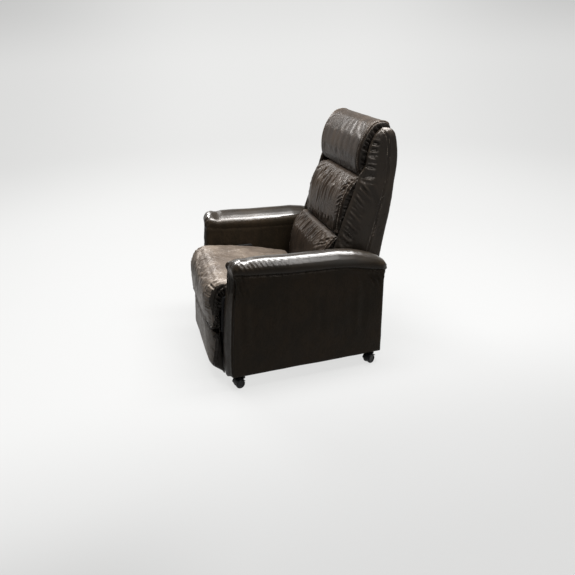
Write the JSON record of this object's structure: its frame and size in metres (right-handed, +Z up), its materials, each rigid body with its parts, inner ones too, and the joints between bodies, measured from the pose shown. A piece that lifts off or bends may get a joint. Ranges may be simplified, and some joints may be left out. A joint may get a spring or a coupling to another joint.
{
  "type": "recliner armchair",
  "caption": "Leather recliner armchair on castors: padded side panels with arm pads, three-cushion tilting back, and a footrest that swings out under the front of the seat.",
  "frame": {"origin": "on the floor, under the middle of the chair's bounding box", "axes": "+Z up, the chair faces -Y, +X is the sitter's left"},
  "size_m": [0.7717, 0.8816, 1.0971],
  "materials": {
    "leather": "semi-gloss dark brown cowhide with fine grain and creases",
    "beech": "sanded, unvarnished beech",
    "steel": "black powder coat",
    "spring_steel": "drawn and oiled wire and rod",
    "black_plastic": "moulded black nylon, slightly glossy"
  },
  "bodies": {
    "chassis": {"side_panel_left": "leather", "side_panel_right": "leather", "arm_pad_left": "leather", "arm_pad_right": "leather", "seat_rail_left": "beech", "seat_rail_right": "beech", "seat_crossrail_front": "beech", "seat_crossrail_middle": "beech", "seat_crossrail_rear": "beech", "base_rail_front": "beech", "base_rail_rear": "beech", "rear_cover": "leather", "seat_spring_1": "spring_steel", "seat_spring_2": "spring_steel", "seat_spring_3": "spring_steel", "seat_spring_4": "spring_steel", "seat_cushion": "leather", "knee_bracket_left": "steel", "knee_bracket_right": "steel", "hip_bracket_left": "steel", "hip_bracket_right": "steel", "spring_anchor": "steel", "lever_mount": "steel", "castor_sleeve_front_left": "steel", "castor_sleeve_front_right": "steel", "castor_sleeve_rear_left": "steel", "castor_sleeve_rear_right": "steel"},
    "back": {"back_shell": "leather", "back_post_left": "beech", "back_post_right": "beech", "back_crossbar_lower": "beech", "back_crossbar_middle": "beech", "back_crossbar_upper": "beech", "head_cushion": "leather", "middle_cushion": "leather", "lumbar_cushion": "leather", "hinge_leaf_left": "steel", "hinge_leaf_right": "steel", "hip_tube": "steel", "spring_lever": "steel"},
    "footrest": {"leg_cushion": "leather", "footrest_panel": "leather", "footrest_board": "beech", "footrest_arm_left": "steel", "footrest_arm_right": "steel"},
    "push_rod_left": {"push_rod_left": "steel"},
    "push_rod_right": {"push_rod_right": "steel"},
    "gas_spring_rod": {"gas_spring_rod": "spring_steel"},
    "gas_spring_tube": {"gas_spring_tube": "steel"},
    "release_lever": {"release_lever": "black_plastic"},
    "castor_front_left": {"castor_hood_front_left": "black_plastic"},
    "castor_wheels_front_left": {"castor_wheels_front_left": "black_plastic"},
    "castor_front_right": {"castor_hood_front_right": "black_plastic"},
    "castor_wheels_front_right": {"castor_wheels_front_right": "black_plastic"},
    "castor_rear_left": {"castor_hood_rear_left": "black_plastic"},
    "castor_wheels_rear_left": {"castor_wheels_rear_left": "black_plastic"},
    "castor_rear_right": {"castor_hood_rear_right": "black_plastic"},
    "castor_wheels_rear_right": {"castor_wheels_rear_right": "black_plastic"}
  },
  "joints": [
    {"name": "recline", "type": "hinge", "parent": "chassis", "child": "back", "pos_m": [0, 0.205, 0.345], "axis": [-1, 0, 0], "range_deg": [0, 32]},
    {"name": "footrest_swing", "type": "hinge", "parent": "chassis", "child": "footrest", "pos_m": [0, -0.35, 0.395], "axis": [-1, 0, 0], "range_deg": [0, 75]},
    {"name": "push_rod_left_pivot", "type": "hinge", "parent": "back", "child": "push_rod_left", "pos_m": [0.2463, 0.22981, 0.25849], "axis": [-1, 0, 0], "range_deg": [-32, 0]},
    {"name": "push_rod_right_pivot", "type": "hinge", "parent": "back", "child": "push_rod_right", "pos_m": [-0.2463, 0.22981, 0.25849], "axis": [-1, 0, 0], "range_deg": [-32, 0]},
    {"name": "gas_spring_pivot", "type": "hinge", "parent": "chassis", "child": "gas_spring_rod", "pos_m": [0, -0.105, 0.17], "axis": [1, 0, 0], "range_deg": [0, 2.2]},
    {"name": "gas_spring_stroke", "type": "slide", "parent": "gas_spring_rod", "child": "gas_spring_tube", "axis": [0, -0.9897, -0.1432], "range_m": [0, 0.0709]},
    {"name": "release_pull", "type": "hinge", "parent": "chassis", "child": "release_lever", "pos_m": [-0.2505, -0.196, 0.392], "axis": [1, 0, 0], "range_deg": [0, 12], "stiffness_Nm_per_rad": 1.5, "springref_deg": -11.46},
    {"name": "castor_front_left_swivel", "type": "hinge", "parent": "chassis", "child": "castor_front_left", "pos_m": [0.346, -0.314, 0.06], "axis": [0, 0, 1], "continuous": true},
    {"name": "castor_front_left_roll", "type": "hinge", "parent": "castor_front_left", "child": "castor_wheels_front_left", "pos_m": [0.35118, -0.33332, 0.022], "axis": [-0.9659, -0.2588, 0], "continuous": true},
    {"name": "castor_front_right_swivel", "type": "hinge", "parent": "chassis", "child": "castor_front_right", "pos_m": [-0.346, -0.314, 0.06], "axis": [0, 0, 1], "continuous": true},
    {"name": "castor_front_right_roll", "type": "hinge", "parent": "castor_front_right", "child": "castor_wheels_front_right", "pos_m": [-0.33661, -0.33166, 0.022], "axis": [-0.8829, -0.4695, 0], "continuous": true},
    {"name": "castor_rear_left_swivel", "type": "hinge", "parent": "chassis", "child": "castor_rear_left", "pos_m": [0.346, 0.318, 0.06], "axis": [0, 0, 1], "continuous": true},
    {"name": "castor_rear_left_roll", "type": "hinge", "parent": "castor_rear_left", "child": "castor_wheels_rear_left", "pos_m": [0.356, 0.30068, 0.022], "axis": [-0.866, -0.5, 0], "continuous": true},
    {"name": "castor_rear_right_swivel", "type": "hinge", "parent": "chassis", "child": "castor_rear_right", "pos_m": [-0.346, 0.318, 0.06], "axis": [0, 0, 1], "continuous": true},
    {"name": "castor_rear_right_roll", "type": "hinge", "parent": "castor_rear_right", "child": "castor_wheels_rear_right", "pos_m": [-0.35539, 0.33566, 0.022], "axis": [0.8829, 0.4695, 0], "continuous": true}
  ],
  "couplings": [
    {"joint": "footrest_swing", "follows": "recline", "ratio": 2.3438},
    {"joint": "push_rod_left_pivot", "follows": "recline", "ratio": -1},
    {"joint": "push_rod_right_pivot", "follows": "recline", "ratio": -1},
    {"joint": "gas_spring_pivot", "follows": "recline", "ratio": 0.065943},
    {"joint": "gas_spring_stroke", "follows": "recline", "m_per_rad": 0.12666}
  ]
}
